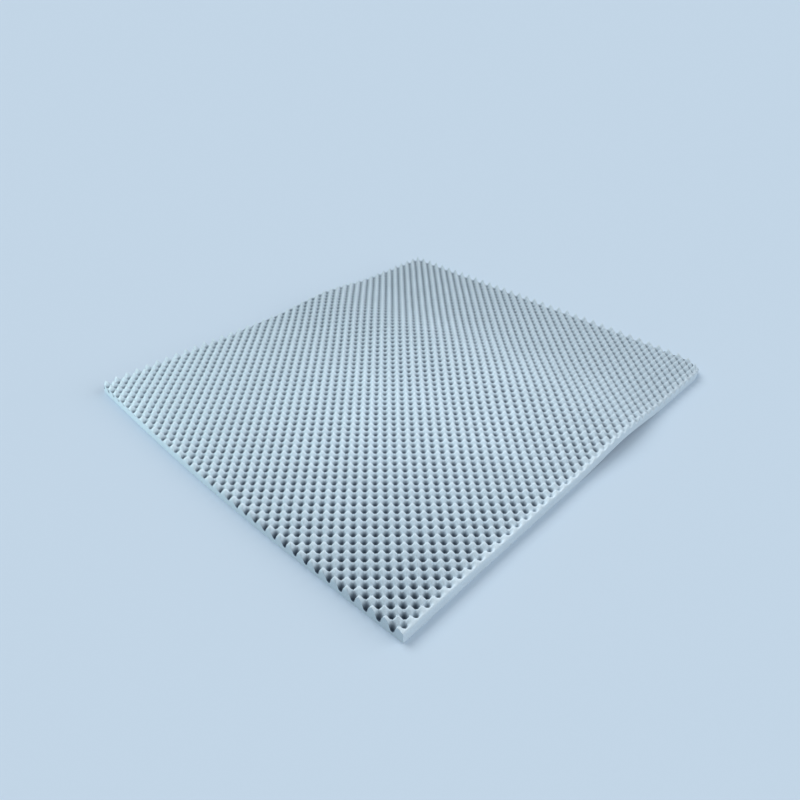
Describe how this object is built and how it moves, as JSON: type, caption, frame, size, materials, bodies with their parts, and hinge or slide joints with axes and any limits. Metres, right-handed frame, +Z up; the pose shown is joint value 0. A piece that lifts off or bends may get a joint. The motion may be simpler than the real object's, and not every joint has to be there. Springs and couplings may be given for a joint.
{
  "type": "convoluted foam mattress topper",
  "caption": "Flat sheet of convoluted foam, plain below and set with peaks and pits above, laid on a mattress to soften it.",
  "frame": {"origin": "middle of the floor outline, on the floor that the underside rests on", "axes": "+X along the sheet's longer side, +Y along its shorter side, +Z up out of the peaks"},
  "size_m": [2.0254, 1.8264, 0.08],
  "materials": {
    "foam": "matte open-cell polyurethane foam"
  },
  "bodies": {
    "root": {"foam_sheet": "foam"}
  },
  "joints": []
}
